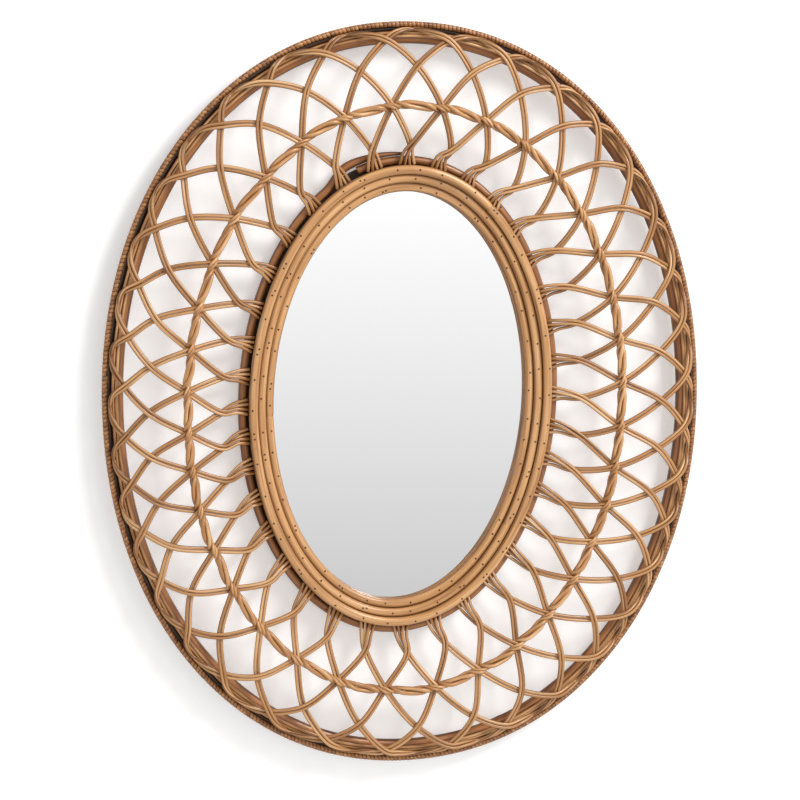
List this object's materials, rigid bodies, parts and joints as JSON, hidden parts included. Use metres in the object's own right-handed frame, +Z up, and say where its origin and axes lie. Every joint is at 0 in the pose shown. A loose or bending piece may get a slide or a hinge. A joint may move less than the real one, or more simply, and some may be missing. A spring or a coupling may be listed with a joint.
{
  "type": "wall mirror",
  "caption": "Oval wall mirror in a rattan frame: rods round the glass, an open lattice of crossing cane arches tied by a braid, and a hoop rim.",
  "frame": {"origin": "middle of the hanger strip's back face, where it lies against the wall, behind the top of the rods round the glass", "axes": "+Z up the wall; +Y into the wall, the front faces -Y; +X to the right of someone looking at the mirror"},
  "size_m": [0.8044, 0.0534, 0.98],
  "materials": {
    "pale_rattan": "varnished light rattan rods",
    "brown_rattan": "varnished orange brown rattan pole",
    "cane": "satin honey cane",
    "wrapping_cane": "narrow cane binding with fine ridges",
    "mirror": "plain silvered glass",
    "board": "plain plywood",
    "steel": "plain zinc plated steel"
  },
  "bodies": {
    "root": {"hanger_strip": "steel", "back_board": "board", "mirror_glass": "mirror", "front_rod_inner": "pale_rattan", "front_rod_middle": "pale_rattan", "front_rod_outer": "pale_rattan", "backing_rod": "brown_rattan", "cane_arch_01": "cane", "cane_arch_02": "cane", "cane_arch_03": "cane", "cane_arch_04": "cane", "cane_arch_05": "cane", "cane_arch_06": "cane", "cane_arch_07": "cane", "cane_arch_08": "cane", "cane_arch_09": "cane", "cane_arch_10": "cane", "cane_arch_11": "cane", "cane_arch_12": "cane", "cane_arch_13": "cane", "cane_arch_14": "cane", "cane_arch_15": "cane", "cane_arch_16": "cane", "cane_arch_17": "cane", "cane_arch_18": "cane", "cane_arch_19": "cane", "cane_arch_20": "cane", "cane_arch_21": "cane", "cane_arch_22": "cane", "cane_arch_23": "cane", "cane_arch_24": "cane", "cane_arch_25": "cane", "cane_arch_26": "cane", "cane_arch_27": "cane", "cane_arch_28": "cane", "cane_arch_29": "cane", "cane_arch_30": "cane", "cane_arch_31": "cane", "cane_arch_32": "cane", "cane_arch_33": "cane", "cane_arch_34": "cane", "cane_arch_35": "cane", "cane_arch_36": "cane", "weaver_a": "cane", "weaver_b": "cane", "wrapped_hoop": "wrapping_cane", "rim_pole": "brown_rattan", "rim_back_rod": "brown_rattan", "rim_rod_outer": "cane", "rim_rod_inner": "cane"}
  },
  "joints": []
}
